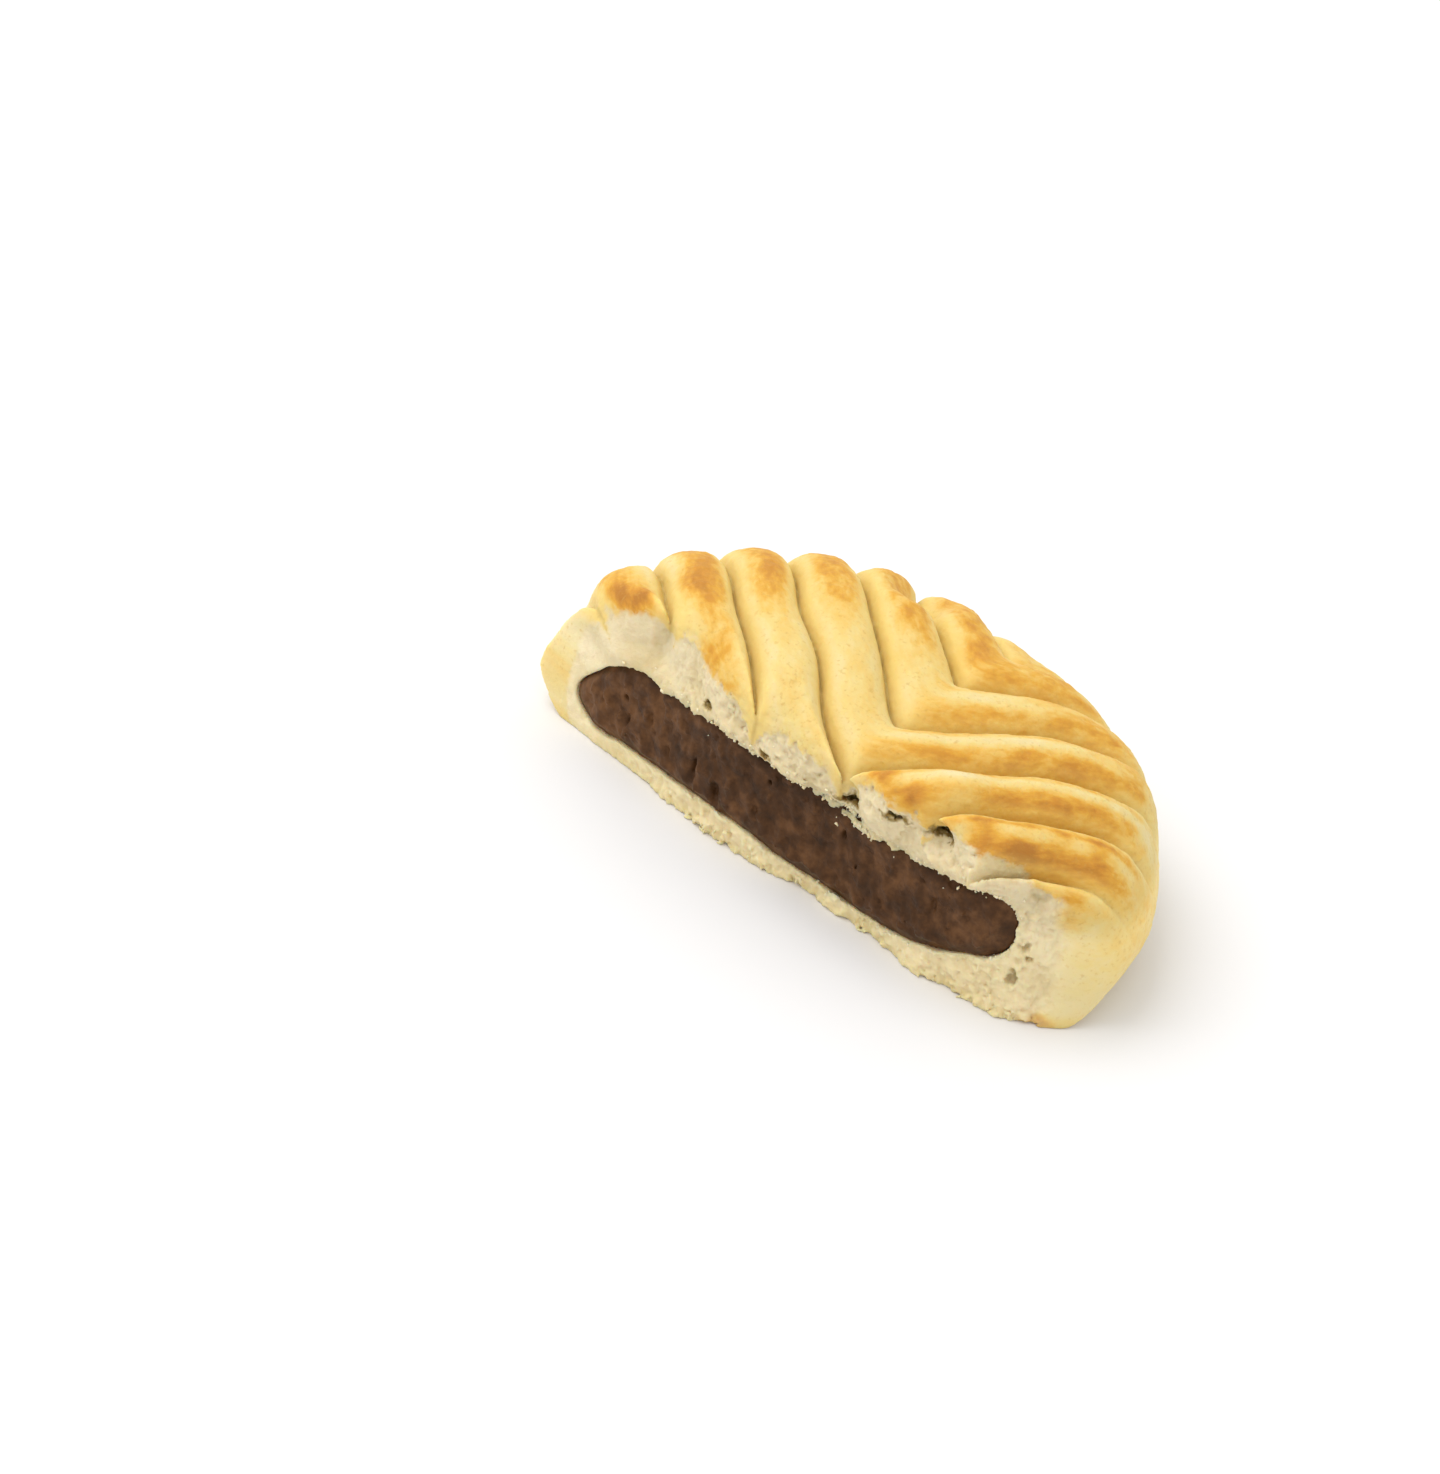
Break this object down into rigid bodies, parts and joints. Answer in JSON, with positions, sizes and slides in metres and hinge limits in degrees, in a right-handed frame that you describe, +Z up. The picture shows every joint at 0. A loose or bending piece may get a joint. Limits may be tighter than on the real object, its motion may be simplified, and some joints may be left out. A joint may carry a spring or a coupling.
{
  "type": "broken half of a date maamoul",
  "caption": "Half of a round pressed shortbread, broken open across its slab of date paste, with chevron ridges on top and a flat base.",
  "frame": {"origin": "middle of the half's box on the plane of the flat base", "axes": "+Z up from the base, the broken face looks towards -Y, +X runs along the break"},
  "size_m": [0.0648, 0.0344, 0.0204],
  "materials": {
    "baked_dough": "matte baked shortbread, golden on the ridges and pale in the grooves and on the wall",
    "date_paste": "dark brown fruit paste, torn and slightly moist"
  },
  "bodies": {
    "root": {"dough": "baked_dough", "date_paste": "date_paste"}
  },
  "joints": []
}
